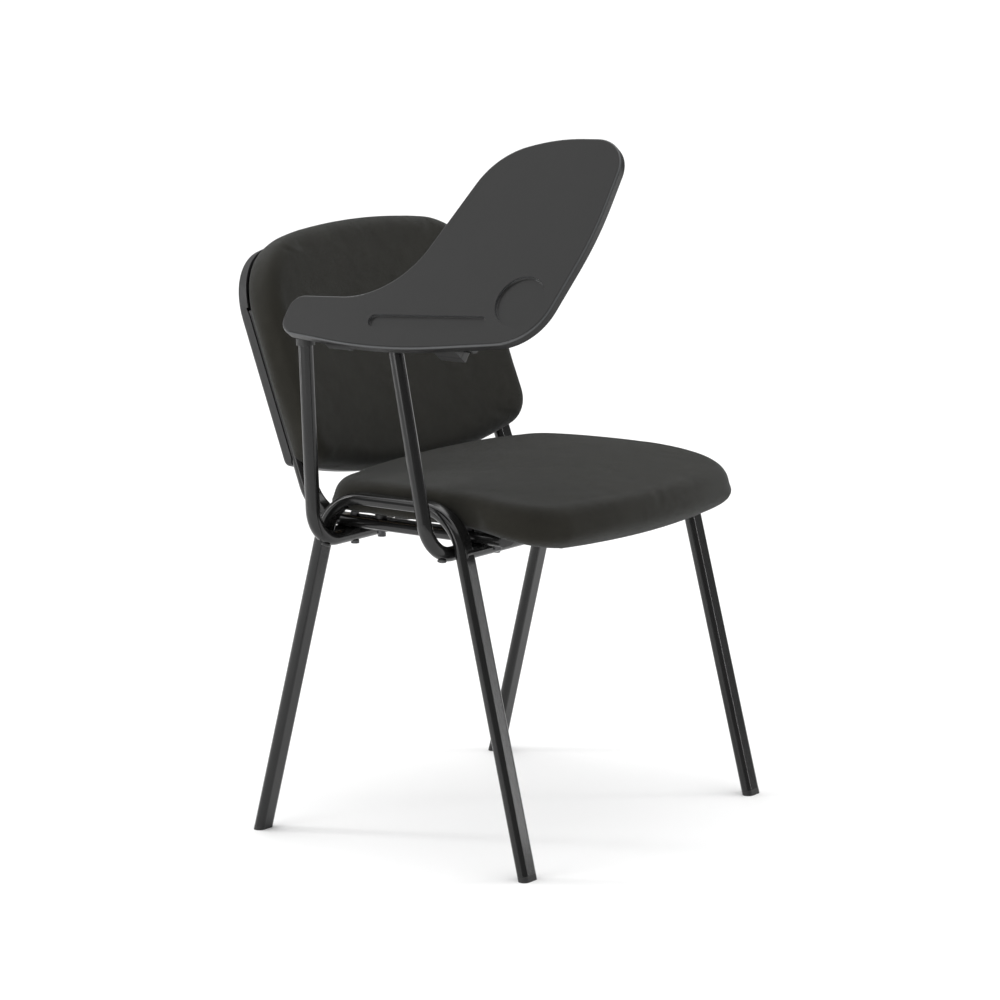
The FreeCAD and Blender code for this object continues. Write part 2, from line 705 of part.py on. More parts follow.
def on_back_rear(edge):
    middle = edge.valueAt((edge.FirstParameter + edge.LastParameter) / 2)
    return abs(math.hypot(middle.x, middle.y + BACK_CURVE) - BACK_CURVE) < FIT_GAP


back_shell = back_panel(SHELL_INSET, SHELL_CORNERS, 0, SHELL_DEPTH)
back_shell = rounded(back_shell, on_back_rear, SHELL_ROUND)
hollow_inset = SHELL_INSET + SHELL_WALL
hollow = back_panel(hollow_inset, SHELL_CORNERS, SHELL_WALL, SHELL_DEPTH + OVERRUN)
back_shell = back_shell.cut(hollow)
board_front = BACK_BOARD_REAR + BACK_BOARD_THICK
back_board = back_panel(BACK_BOARD_INSET, PAD_CORNERS, BACK_BOARD_REAR, board_front)

# The cushion's front is a face curved both ways, turned about the back's upright axis
pad_rear = SHELL_DEPTH + FIT_GAP
pad_edge = BACK_THICK - BACK_CROWN
pad_low = -BACK_BOTTOM_DROP - OVERRUN
pad_high = BACK_SIDE_HEIGHT + BACK_TOP_RISE + OVERRUN
pad_profile = Part.Face(Part.Wire([
    Part.LineSegment(point(0, -pad_rear, pad_low), point(0, -pad_rear, pad_high)).toShape(),
    Part.LineSegment(point(0, -pad_rear, pad_high), point(0, -pad_edge, pad_high)).toShape(),
    Part.Arc(
        point(0, -pad_edge, pad_high),
        point(0, -BACK_THICK, (pad_low + pad_high) / 2),
        point(0, -pad_edge, pad_low),
    ).toShape(),
    Part.LineSegment(point(0, -pad_edge, pad_low), point(0, -pad_rear, pad_low)).toShape(),
]))
pad_axis = point(0, -BACK_CURVE, 0)
half_turn = math.degrees(BACK_WIDTH / BACK_CURVE)
pad_profile.rotate(pad_axis, UP, -half_turn)
pad_turned = pad_profile.revolve(pad_axis, UP, 2 * half_turn)
back_cushion = back_outline(0, PAD_CORNERS, depth_low, depth_high).common(pad_turned)
crown_rise = (pad_high - pad_low) / 2
crown_radius = (crown_rise ** 2 + BACK_CROWN ** 2) / (2 * BACK_CROWN)


def on_back_front(edge):
    middle = edge.valueAt((edge.FirstParameter + edge.LastParameter) / 2)
    from_axis = math.hypot(middle.x, middle.y + BACK_CURVE)
    crown_base = BACK_CURVE - BACK_THICK + crown_radius
    from_ring = math.hypot(crown_base - from_axis, middle.z - (pad_low + pad_high) / 2)
    return abs(from_ring - crown_radius) < FIT_GAP


back_cushion = rounded(back_cushion, on_back_front, BACK_FRONT_ROUND)
back_pocket = back_panel(BACK_BOARD_INSET - FIT_GAP, PAD_CORNERS, depth_low, board_front + FIT_GAP)
back_cushion = lean(back_cushion.cut(back_pocket))
back_board = lean(back_board)
back_shell = lean(back_shell)


def notch(side):
    """Room for a back support where it enters the backrest."""
    low = back_point(side * SUPPORT_X, support_depth, -BACK_BOTTOM_DROP - FAR / 4)
    high = back_point(side * SUPPORT_X, support_depth, SUPPORT_REACH + PLUG_FACE + OVERRUN)
    return oval_bar(low, high, OVAL_WIDE + OVERRUN / 2, OVAL_THIN + OVERRUN / 2)


for side in (-1, 1):
    back_shell = back_shell.cut(notch(side))
    back_cushion = back_cushion.cut(notch(side))

back_screws = []
back_inserts = []
for side in (-1, 1):
    for up in BACK_SCREW_UP:
        rear = support_depth - OVAL_THIN / 2
        tip_depth = BACK_BOARD_REAR + curve_depth(SUPPORT_X) + BACK_BOARD_THICK - SCREW_END_GAP
        head_end, neck = back_screw_line(side, up, rear - SCREW_HEAD, rear)
        back_screws.append(bolt(head_end, neck, back_screw_line(side, up, rear, tip_depth)[1]))
        through = rod(INSERT_RADIUS, *back_screw_line(side, up, rear, tip_depth + 2 * OVERRUN))
        bore = rod(SCREW_RADIUS, *back_screw_line(side, up, rear, tip_depth + 2 * OVERRUN))
        back_inserts.append(through.common(back_board).cut(bore))
        back_board = back_board.cut(through)
keep("back_screws", back_screws)
keep("back_inserts", back_inserts)

shell_screws = []
for side in (-1, 1):
    for up in SHELL_SCREW_UP:
        curve = curve_depth(SHELL_SCREW_X)
        x = side * SHELL_SCREW_X
        skin = back_point(x, curve + SHELL_SCREW_HEAD, up)
        inside = back_point(x, curve + SHELL_WALL / 2, up)
        board_face = back_point(x, curve + BACK_BOARD_REAR - FIT_GAP, up)
        boss_room = lean(ring(SHELL_WALL / 2, BACK_BOARD_REAR - FIT_GAP))
        boss = rod(SHELL_BOSS_RADIUS, inside, board_face + (board_face - inside)).common(boss_room)
        back_shell = back_shell.fuse(boss)
        tip = back_point(x, curve + BACK_BOARD_REAR + SHELL_SCREW_GRIP, up)
        behind = back_point(x, curve - OVERRUN, up)
        back_shell = back_shell.cut(rod(SHELL_SCREW_RADIUS, behind, tip))
        back_shell = back_shell.cut(rod(SHELL_SCREW_HEAD_RADIUS + FIT_GAP, behind, skin))
        head_back = back_point(x, curve, up)
        head = rod(SHELL_SCREW_HEAD_RADIUS, head_back, skin)
        shell_screws.append(fused([head, rod(SHELL_SCREW_RADIUS, head_back, tip)]))
        back_board = back_board.cut(rod(SHELL_SCREW_RADIUS, behind, tip))
keep("shell_screws", shell_screws)
keep("back_shell", back_shell.removeSplitter())
keep("back_board", back_board)
keep("back_cushion", back_cushion)

# Arm posts and hinge bar

stub_z = support_bottom - ARM_TUBE
bar_start = point(ARM_X, BAR_FRONT, BAR_Z)
bar_end = point(ARM_X, BAR_REAR, BAR_Z)
hinge_bar = rod(ARM_TUBE, bar_start, bar_end).cut(rod(ARM_TUBE - ARM_TUBE_WALL, bar_start, bar_end))
keep("hinge_bar", hinge_bar)
bar_envelope = rod(ARM_TUBE, bar_start, bar_end)


def round_plug(end, outward):
    face = rod(ARM_TUBE, end, end + outward * PLUG_FACE)
    stem = rod(ARM_TUBE - ARM_TUBE_WALL - FIT_GAP, end - outward * PLUG_STEM, end)
    return fused([face, stem])


arm_plugs = [round_plug(bar_start, REARWARD * -1), round_plug(bar_end, REARWARD)]
bracket_inner = ARM_REACH
bracket_outer = ARM_REACH - BRACKET_LOWER
bracket_hole_x = (bracket_inner + bracket_outer) / 2
stub_roof = stub_z + ARM_TUBE
arm_bolts = []
arm_nuts = []
arm_brackets = []
bracket_screws = []
drain_plugs = []


def arm_bolt(x, y, nut_foot):
    """A bolt up through a post's end, with its nut."""
    foot = point(x, y, stub_z - ARM_TUBE)
    head_foot = foot - UP * SCREW_HEAD
    top = point(x, y, nut_foot + NUT_HEIGHT)
    nut = hexagon(NUT_RADIUS, NUT_HEIGHT, point(x, y, nut_foot))
    arm_bolts.append(bolt(head_foot, foot, top))
    arm_nuts.append(nut.cut(rod(SCREW_RADIUS, point(x, y, nut_foot), top)))


def drain_button():
    """A rounded plug with a stem, its face on the origin and its head above it."""
    head = rod(DRAIN_PLUG_RADIUS, ORIGIN, UP * DRAIN_PLUG_HEAD)
    top_edges = [edge for edge in head.Edges if edge.BoundBox.ZMin > DRAIN_PLUG_HEAD / 2]
    head = head.makeFillet(DRAIN_PLUG_ROUND, top_edges)
    return head.fuse(rod(DRAIN_PLUG_STEM_RADIUS, UP * -DRAIN_PLUG_STEM, ORIGIN))


for name, top_y, foot_y in (
    ("arm_post_rear", POST_REAR_TOP_Y, POST_REAR_FOOT_Y),
    ("arm_post_front", POST_FRONT_TOP_Y, POST_FRONT_FOOT_Y),
):
    top = point(ARM_X, top_y, BAR_Z)
    foot = point(ARM_X, foot_y, stub_z)
    end = point(ARM_REACH, foot_y, stub_z)
    post = round_tube([top, foot, end], ARM_BEND, ARM_TUBE, ARM_TUBE_WALL).cut(bar_envelope)
    post = max(post.Solids, key=lambda solid: solid.Volume)
    for hole_x in (-SUPPORT_X, bracket_hole_x):
        low = point(hole_x, foot_y, stub_z - 2 * ARM_TUBE)
        high = point(hole_x, foot_y, stub_z + 2 * ARM_TUBE)
        post = post.cut(rod(SCREW_HOLE, low, high))
    arm_plugs.append(round_plug(end, ACROSS))
    arm_bolt(-SUPPORT_X, foot_y, support_roof)
    arm_bolt(bracket_hole_x, foot_y, stub_roof + BRACKET_THICK)

    lower = block(
        point(bracket_outer, foot_y - BRACKET_HALF_WIDTH, stub_roof),
        point(bracket_inner, foot_y + BRACKET_HALF_WIDTH, stub_roof + BRACKET_THICK),
    )
    riser = block(
        point(bracket_inner - BRACKET_THICK, foot_y - BRACKET_HALF_WIDTH, stub_roof),
        point(bracket_inner, foot_y + BRACKET_HALF_WIDTH, cover_bottom),
    )
    upper = block(
        point(bracket_inner - BRACKET_THICK, foot_y - BRACKET_HALF_WIDTH, cover_bottom - BRACKET_THICK),
        point(bracket_inner + BRACKET_UPPER, foot_y + BRACKET_HALF_WIDTH, cover_bottom),
    )
    bracket = fused([lower, riser, upper])
    low = point(bracket_hole_x, foot_y, stub_roof - BRACKET_THICK)
    bracket = bracket.cut(rod(SCREW_HOLE, low, low + UP * (3 * BRACKET_THICK)))
    screw_x = bracket_inner + BRACKET_BACK
    for turn in (-1, 1):
        screw_y = foot_y + turn * WOOD_SCREW_HALF_PITCH
        flange = point(screw_x, screw_y, cover_bottom - BRACKET_THICK)
        head_foot = flange - UP * WOOD_SCREW_HEAD
        tip = point(screw_x, screw_y, BOARD_BOTTOM + WOOD_SCREW_IN)
        shank = rod(WOOD_SCREW_RADIUS, head_foot, tip)
        bracket_screws.append(fused([rod(WOOD_SCREW_HEAD_RADIUS, head_foot, flange), shank]))
        bracket = bracket.cut(shank)
        seat_board = seat_board.cut(shank)
        seat_cover = seat_cover.cut(shank)
    arm_brackets.append(bracket)

    rise = (top - foot).normalize()
    outward = ACROSS * -math.sin(DRAIN_PLUG_TURN) - rise * math.cos(DRAIN_PLUG_TURN)
    bend_centre = foot + (ACROSS + rise) * ARM_BEND
    skin = bend_centre + outward * (ARM_BEND + ARM_TUBE)
    stem_end = skin - outward * DRAIN_PLUG_STEM
    button = drain_button()
    button.Placement = FreeCAD.Placement(skin, FreeCAD.Rotation(UP, outward))
    drain_plugs.append(button)
    post = post.cut(rod(DRAIN_PLUG_STEM_RADIUS + FIT_GAP, stem_end, skin))
    keep(name, post)

keep("arm_plugs", arm_plugs)
keep("arm_bolts", arm_bolts)
keep("arm_nuts", arm_nuts)
keep("arm_brackets", arm_brackets)
keep("bracket_screws", bracket_screws)
keep("drain_plugs", drain_plugs)
keep("seat_board", seat_board)
keep("seat_cover", seat_cover)
keep("seat_cushion", seat_cushion)

post_slope = point(0, POST_REAR_FOOT_Y - POST_REAR_TOP_Y, stub_z - BAR_Z).normalize()
collar_top = point(ARM_X, POST_REAR_TOP_Y, BAR_Z) + post_slope * (ARM_TUBE + COLLAR_WALL)
collar_end = collar_top + post_slope * COLLAR_HEIGHT
collar_bore = rod(ARM_TUBE + FIT_GAP, collar_top, collar_end)
keep("post_collar", rod(ARM_TUBE + COLLAR_WALL, collar_top, collar_end).cut(collar_bore))

# Tablet, drawn level over the hinge bar: X is across, Z is out of its face

def raise_tablet(shape):
    moved = shape.copy()
    moved.rotate(ORIGIN, REARWARD, -TABLET_TILT)
    moved.translate(point(ARM_X, 0, BAR_Z))
    return moved


def tablet_wire(height):
    """The tablet's outline: straight edges joined by tangent arcs."""
    corners = [point(across, BAR_REAR + along, height) for across, along, radius in TABLET_OUTLINE]
    arcs = []
    for index, corner in enumerate(corners):
        after = corners[(index + 1) % len(corners)]
        arcs.append(corner_arc(corners[index - 1], corner, after, TABLET_OUTLINE[index][2]))
    edges = []
    for index, arc in enumerate(arcs):
        edges.append(Part.Arc(*arc).toShape())
        edges.append(Part.LineSegment(arc[2], arcs[(index + 1) % len(arcs)][0]).toShape())
    return Part.Wire(edges)


plate_under = TABLET_TOP - TABLET_PLATE
tablet = Part.Face(tablet_wire(TABLET_FOOT)).extrude(UP * TABLET_DEPTH)
top_edges = [edge for edge in tablet.Edges if edge.BoundBox.ZMin > plate_under]
tablet = tablet.makeFillet(TABLET_TOP_ROUND, top_edges)
foot_edges = [edge for edge in tablet.Edges if edge.BoundBox.ZMax < TABLET_FOOT + FIT_GAP]
tablet = tablet.makeFillet(TABLET_FOOT_ROUND, foot_edges)
inner_wire = tablet_wire(TABLET_FOOT - OVERRUN).makeOffset2D(-TABLET_RIM)
inner_room = Part.Face(inner_wire).extrude(UP * (plate_under - TABLET_FOOT + OVERRUN))
tablet = tablet.cut(inner_room)

ribs = []
rib_foot = plate_under - RIB_DEPTH
room_box = inner_room.BoundBox
half_rib = RIB_THICK / 2
rib_count = int(room_box.YLength / RIB_PITCH)
for index in range(rib_count):
    y = room_box.YMin + (index + 0.5) * room_box.YLength / rib_count
    low = point(room_box.XMin, y - half_rib, rib_foot)
    high = point(room_box.XMax, y + half_rib, TABLET_TOP)
    ribs.append(block(low, high))
rib_count = int(room_box.XLength / RIB_PITCH)
for index in range(rib_count):
    x = room_box.XMin + (index + 0.5) * room_box.XLength / rib_count
    low = point(x - half_rib, room_box.YMin, rib_foot)
    high = point(x + half_rib, room_box.YMax, TABLET_TOP)
    ribs.append(block(low, high))
rib_grid = fused(ribs).common(inner_room)

recess_under = TABLET_TOP - RECESS_DEPTH - RECESS_FLOOR
cup_centre = point(CUP_ACROSS, BAR_REAR + CUP_ALONG, recess_under)
cup_well = rod(CUP_RADIUS + TABLET_RIM, cup_centre, cup_centre + UP * (plate_under - recess_under))
groove_rear = point(GROOVE_REAR[0], BAR_REAR + GROOVE_REAR[1], recess_under)
groove_front = point(GROOVE_FRONT[0], BAR_REAR + GROOVE_FRONT[1], recess_under)


def groove_bar(half_width, low, high):
    """A round-ended bar along the pen groove, between two heights."""
    lift = UP * (low - recess_under)
    along = (groove_front - groove_rear).normalize()
    side = along.cross(UP) * half_width
    first = groove_rear + lift
    last = groove_front + lift
    wire = Part.Wire([
        Part.LineSegment(first + side, last + side).toShape(),
        Part.Arc(last + side, last + along * half_width, last - side).toShape(),
        Part.LineSegment(last - side, first - side).toShape(),
        Part.Arc(first - side, first - along * half_width, first + side).toShape(),
    ])
    return Part.Face(wire).extrude(UP * (high - low))


groove_well = groove_bar(GROOVE_HALF_WIDTH + TABLET_RIM, recess_under, plate_under)
pads = []
for clamp_y in CLAMP_Y:
    low = point(-CLAMP_HALF_WIDTH + FIT_GAP, clamp_y - CLAMP_HALF_LENGTH, TABLET_FOOT)
    high = point(CLAMP_HALF_WIDTH, clamp_y + CLAMP_HALF_LENGTH, plate_under)
    pads.append(block(low, high))
tablet = fused([tablet, rib_grid, cup_well.common(inner_room), groove_well.common(inner_room)] + pads)
recess_level = TABLET_TOP - RECESS_DEPTH
cup_floor = cup_centre + UP * (recess_level - recess_under)
cup = rod(CUP_RADIUS, cup_floor, cup_floor + UP * (RECESS_DEPTH + OVERRUN))
cup_edges = [edge for edge in cup.Edges if edge.BoundBox.ZMax < recess_level + FIT_GAP]
cup = cup.makeFillet(CUP_ROUND, cup_edges)
groove = groove_bar(GROOVE_HALF_WIDTH, recess_level, TABLET_TOP + OVERRUN)
groove_edges = [edge for edge in groove.Edges if edge.BoundBox.ZMax < recess_level + FIT_GAP]
groove = groove.makeFillet(CUP_ROUND, groove_edges)
tablet = tablet.cut(cup).cut(groove)

uppers = []
lowers = []
bushes = []
clamp_screws = []
for clamp_y in CLAMP_Y:
    near = point(0, clamp_y - CLAMP_HALF_LENGTH, 0)
    far = point(0, clamp_y + CLAMP_HALF_LENGTH, 0)
    bush = rod(BUSH_RADIUS, near, far)
    bore = rod(ARM_TUBE + BUSH_CLEARANCE, near, far)
    upper = block(
        point(-CLAMP_HALF_WIDTH, near.y, CLAMP_SPLIT),
        point(CLAMP_HALF_WIDTH, far.y, TABLET_FOOT),
    ).cut(bush)
    lower = block(
        point(-CLAMP_HALF_WIDTH, near.y, -CLAMP_DEPTH),
        point(CLAMP_HALF_WIDTH, far.y, -CLAMP_SPLIT),
    )
    low_edges = [edge for edge in lower.Edges if edge.BoundBox.ZMax < FIT_GAP - CLAMP_DEPTH]
    lower = lower.makeFillet(CLAMP_ROUND, low_edges).cut(bush)
    for across in (-1, 1):
        for along in (-1, 1):
            x = across * CLAMP_SCREW_ACROSS
            y = clamp_y + along * CLAMP_SCREW_ALONG
            foot = point(x, y, -CLAMP_DEPTH)
            head_top = foot + UP * CLAMP_SCREW_HEAD
            tip = point(x, y, TABLET_FOOT + CLAMP_SCREW_IN)
            head = rod(CLAMP_SCREW_HEAD_RADIUS, foot, head_top)
            shank = rod(CLAMP_SCREW_RADIUS, foot, tip)
            lower = lower.cut(rod(CLAMP_SCREW_HEAD_RADIUS + FIT_GAP, foot, head_top)).cut(shank)
            upper = upper.cut(shank)
            tablet = tablet.cut(shank)
            clamp_screws.append(raise_tablet(fused([head, shank])))
    uppers.append(raise_tablet(upper))
    lowers.append(raise_tablet(lower))
    bushes.append(raise_tablet(bush.cut(bore)))
keep("tablet", raise_tablet(tablet))
keep("hinge_clamps_upper", uppers)
keep("hinge_clamps_lower", lowers)
keep("hinge_bushes", bushes)
keep("clamp_screws", clamp_screws)

# The origin is the middle of the whole chair's box, on the floor

whole = Part.makeCompound(list(parts.values()))
box = whole.optimalBoundingBox()
shift = point(-(box.XMin + box.XMax) / 2, -(box.YMin + box.YMax) / 2, 0)
print("shift", shift)
print("hinge axis", point(ARM_X, 0, BAR_Z) + shift)
print("box", box.XLength, box.YLength, box.ZMin, box.ZMax)
for name, shape in sorted(parts.items()):
    placed = shape.translated(shift)
    if not placed.isValid():
        print("not valid:", name)
    placed.exportStep("parts/" + name + ".step")
    print(name, len(placed.Solids), round(placed.Volume))
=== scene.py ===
import bmesh
import bpy
import math
from mathutils import Matrix, Vector


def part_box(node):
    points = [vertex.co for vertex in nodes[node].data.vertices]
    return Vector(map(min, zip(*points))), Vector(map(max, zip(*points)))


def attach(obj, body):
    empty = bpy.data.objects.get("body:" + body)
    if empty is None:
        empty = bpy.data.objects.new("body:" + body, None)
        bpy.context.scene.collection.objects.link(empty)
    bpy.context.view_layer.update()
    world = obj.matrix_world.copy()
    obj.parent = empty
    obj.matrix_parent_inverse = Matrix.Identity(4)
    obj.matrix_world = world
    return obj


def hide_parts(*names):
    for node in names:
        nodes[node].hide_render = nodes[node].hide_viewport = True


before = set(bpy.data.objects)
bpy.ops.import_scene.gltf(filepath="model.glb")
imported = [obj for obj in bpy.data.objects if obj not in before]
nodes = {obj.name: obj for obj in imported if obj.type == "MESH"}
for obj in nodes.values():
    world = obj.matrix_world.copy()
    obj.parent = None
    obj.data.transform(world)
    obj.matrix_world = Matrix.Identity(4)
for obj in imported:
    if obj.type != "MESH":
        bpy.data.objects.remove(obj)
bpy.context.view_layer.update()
scene = bpy.context.scene


# The studio. A plain pale floor, a soft white surround, a wide lamp overhead and
# three softboxes, with the camera at the photograph's angle. The lamps and the
# camera are placed from the middle of the feet.

foot_low, foot_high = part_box("leg_plugs")
stand = Vector(((foot_low.x + foot_high.x) / 2, (foot_low.y + foot_high.y) / 2, 0))
VIEW_TURN = math.radians(54.16)
VIEW_RISE = math.radians(10.39)
VIEW_PLACE = Vector((-4.0920, -2.9370, 1.3505))
VIEW_LENS = 138.3
VIEW_SENSOR = 36.0

view_data = bpy.data.cameras.new("view")
view_data.lens = VIEW_LENS
view_data.sensor_width = VIEW_SENSOR
view_data.clip_end = 200
view_camera = bpy.data.objects.new("view", view_data)
scene.collection.objects.link(view_camera)
view_back = Vector((
    -math.sin(VIEW_TURN) * math.cos(VIEW_RISE),
    -math.cos(VIEW_TURN) * math.cos(VIEW_RISE),
    math.sin(VIEW_RISE),
))
view_right = Vector((math.cos(VIEW_TURN), -math.sin(VIEW_TURN), 0))
view_up = view_back.cross(view_right)
view_turned = Matrix((view_right, view_up, view_back)).transposed()
view_camera.matrix_world = Matrix.Translation(stand + VIEW_PLACE) @ view_turned.to_4x4()
scene.camera = view_camera
scene.view_settings.view_transform = "Standard"


class Signal:
    """A shader socket that can be added, multiplied and compared like a number."""

    def __init__(self, finish, socket):
        self.finish = finish
        self.socket = socket

    def math(self, operation, *inputs):
        return self.finish.add("ShaderNodeMath", {"operation": operation}, dict(enumerate(inputs)))

    def __add__(self, other):
        return self.math("ADD", self, other)

    def __sub__(self, other):
        return self.math("SUBTRACT", self, other)

    def __rsub__(self, other):
        return self.math("SUBTRACT", other, self)

    def __mul__(self, other):
        return self.math("MULTIPLY", self, other)

    __radd__ = __add__
    __rmul__ = __mul__

    def wave(self):
        return self.math("SINE", self)

    def lowest(self, other):
        return self.math("MINIMUM", self, other)

    def highest(self, other):
        return self.math("MAXIMUM", self, other)


class Finish:
    """A material under construction: its nodes, and the maths between them."""

    def __init__(self, name):
        self.material = bpy.data.materials.new(name)
        self.material.use_nodes = True
        self.tree = self.material.node_tree
        self.shader = self.tree.nodes["Principled BSDF"]

    def add(self, kind, settings=None, inputs=None, output=0):
        node = self.tree.nodes.new(kind)
        for name, value in (settings or {}).items():
            setattr(node, name, value)
        for name, value in (inputs or {}).items():
            self.feed(node.inputs[name], value)
        return Signal(self, node.outputs[output])

    def feed(self, socket, value):
        if isinstance(value, Signal):
            self.tree.links.new(value.socket, socket)
        else:
            socket.default_value = value

    def place(self, source="Object"):
        return self.add("ShaderNodeTexCoord", output=source)

    def axes(self, place):
        split = self.add("ShaderNodeSeparateXYZ", inputs={0: place}).socket.node
        return [Signal(self, socket) for socket in split.outputs]

    def noise(self, place, scale, detail=2.0, stretch=None):
        if stretch:
            place = self.add("ShaderNodeMapping", inputs={"Vector": place, "Scale": stretch})
        inputs = {"Vector": place, "Scale": scale, "Detail": detail}
        return self.add("ShaderNodeTexNoise", {"noise_dimensions": "3D"}, inputs)

    def between(self, factor, first, second):
        """A mix of two colours by a number from 0 to 1."""
        inputs = {0: factor, 6: (*first, 1.0), 7: (*second, 1.0)}
        return self.add("ShaderNodeMix", {"data_type": "RGBA"}, inputs, output=2)

    def raised(self, height, distance, strength=1.0):
        """Normals for a surface that rises by height times distance, in metres."""
        inputs = {"Height": height, "Distance": distance, "Strength": strength}
        return self.add("ShaderNodeBump", inputs=inputs)

    def done(self, **sockets):
        for name, value in sockets.items():
            self.feed(self.shader.inputs[name.replace("_", " ")], value)
        return self.material


def dressed(material, *names):
    """Gives CAD nodes their material."""
    for name in names:
        nodes[name].data.materials.clear()
        nodes[name].data.materials.append(material)


def floor_finish():
    finish = Finish("pale_floor")
    shade = finish.noise(finish.place(), 0.7) * 0.01 + 0.965
    colour = finish.add("ShaderNodeCombineColor", inputs={0: shade, 1: shade, 2: shade})
    return finish.done(Base_Color=colour, Roughness=0.9, Specular_IOR_Level=0.1)


FLOOR_HALF = 60.0
floor_data = bpy.data.meshes.new("floor")
floor_mesh = bmesh.new()
bmesh.ops.create_grid(floor_mesh, x_segments=2, y_segments=2, size=FLOOR_HALF)
floor_mesh.to_mesh(floor_data)
floor_mesh.free()
floor = bpy.data.objects.new("floor", floor_data)
scene.collection.objects.link(floor)
floor_data.materials.append(floor_finish())

SURROUND_LIGHT = 0.26
surround = bpy.data.worlds.new("surround")
surround.use_nodes = True
scene.world = surround
surround_shader = surround.node_tree.nodes["Background"]
surround_shader.inputs["Color"].default_value = (1, 1, 1, 1)
surround_shader.inputs["Strength"].default_value = SURROUND_LIGHT


def aimed(name, data, place, target):
    """Puts a lamp at a place about the chair's feet and turns it to a target."""
    lamp_object = bpy.data.objects.new(name, data)
    scene.collection.objects.link(lamp_object)
    spot = stand + Vector(place)
    turned = (stand + Vector(target) - spot).to_track_quat("-Z", "Y").to_matrix().to_4x4()
    lamp_object.matrix_world = Matrix.Translation(spot) @ turned


def softbox(name, place, target, wide, high, power):
    """A rectangular soft lamp, its sides in metres and its power in watts."""
    data = bpy.data.lights.new(name, "AREA")
    data.shape = "RECTANGLE"
    data.size = wide
    data.size_y = high
    data.energy = power
    aimed(name, data, place, target)


CHAIR_MIDDLE = (0, 0, 0.5)
SKY_LIGHT = 2.9
sky = bpy.data.lights.new("sky_lamp", "SUN")
sky.energy = SKY_LIGHT
sky.angle = math.radians(110)
aimed("sky_lamp", sky, (0.3, 0.5, 5.0), (0, 0, 0))
softbox("left_softbox", (-1.6, 2.6, 1.3), CHAIR_MIDDLE, 0.30, 2.4, 24)
softbox("right_softbox", (2.2, -2.2, 1.3), CHAIR_MIDDLE, 0.22, 2.4, 12)
softbox("side_softbox", (-3.0, 0.5, 1.2), CHAIR_MIDDLE, 1.6, 1.6, 26)


# Side frames, cross tubes, back supports and the arm. Bent flat-oval and round
# steel tube, welded under the seat and powder coated gloss black.

def black_paint():
    finish = Finish("black_powder_coat")
    place = finish.place()
    clouds = finish.noise(place, 14, 3)
    peel = finish.noise(place, 900, 2)
    dust = finish.noise(place, 160, 3)
    colour = finish.between(clouds, (0.006, 0.006, 0.006), (0.011, 0.011, 0.011))
    rough = clouds * 0.05 + dust * 0.05 + 0.10
    return finish.done(
        Base_Color=colour,
        Roughness=rough,
        Specular_IOR_Level=0.34,
        Coat_Weight=0.15,
        Coat_Roughness=0.08,
        Normal=finish.raised(peel, 0.00004),
    )


painted = black_paint()
dressed(
    painted,
    "side_frame_right",
    "side_frame_left",
    "front_cross_tube",
    "rear_cross_tube",
    "back_support_right",
    "back_support_left",
    "arm_post_rear",
    "arm_post_front",
    "hinge_bar",
)


def weld_bead(mesh, middle, axis, radius):
    """A rippled ring of weld around a tube's end."""
    aside = axis.orthogonal().normalized()
    ring = bmesh.ops.create_circle(mesh, segments=8, radius=WELD_RADIUS)["verts"]
    turned = Matrix((aside, axis, aside.cross(axis))).transposed().to_4x4()
    placed = Matrix.Translation(middle + aside * radius) @ turned
    bmesh.ops.transform(mesh, matrix=placed, verts=ring)
    edges = list({edge for vertex in ring for edge in vertex.link_edges})
    bmesh.ops.spin(
        mesh,
        geom=ring + edges,
        cent=middle,
        axis=axis,
        angle=2 * math.pi,
        steps=WELD_STEPS,
        use_merge=True,
    )


WELD_RADIUS = 0.0019
WELD_STEPS = 48
WELD_INSET = 0.0006
WELD_RIPPLE = 0.0003
WELD_WAVES = (9000, 7000)
weld_mesh = bmesh.new()
for tube in ("front_cross_tube", "rear_cross_tube"):
    tube_low, tube_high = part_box(tube)
    tube_middle = (tube_low + tube_high) / 2
    for end in (tube_low.x, tube_high.x):
        inward = math.copysign(WELD_INSET, tube_middle.x - end)
        place = Vector((end + inward, tube_middle.y, tube_middle.z))
        weld_bead(weld_mesh, place, Vector((1, 0, 0)), (tube_high.z - tube_low.z) / 2)
bmesh.ops.remove_doubles(weld_mesh, verts=weld_mesh.verts, dist=1e-5)
bmesh.ops.recalc_face_normals(weld_mesh, faces=weld_mesh.faces)
for vertex in weld_mesh.verts:
    wave = WELD_WAVES[0] * vertex.co.y + WELD_WAVES[1] * vertex.co.z
    vertex.co.x += WELD_RIPPLE * math.sin(wave)


def shown(name, mesh, material, body):
    """Makes a mesh a smooth piece that rides on a body."""
    data = bpy.data.meshes.new(name)
    mesh.to_mesh(data)
    mesh.free()
    data.shade_smooth()
    made = bpy.data.objects.new(name, data)
    scene.collection.objects.link(made)
    data.materials.append(material)
    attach(made, body)
    return made


welds = shown("weld_beads", weld_mesh, painted, "chair")


# Plugs and small mouldings. Injection moulded black polyethylene, pressed into
# the tubes' open ends, with a fine matt grain from the tool.

def moulded_black(name, dark, light, rough, grain, depth):
    finish = Finish(name)
    place = finish.place()
    clouds = finish.noise(place, 22, 3)
    pits = finish.noise(place, grain, 2)
    colour = finish.between(clouds, dark, light)
    height = pits + finish.noise(place, grain / 4, 2) * 0.4
    return finish.done(
        Base_Color=colour,
        Roughness=rough + clouds * 0.08,
        Specular_IOR_Level=0.4,
        Normal=finish.raised(height, depth),
    )


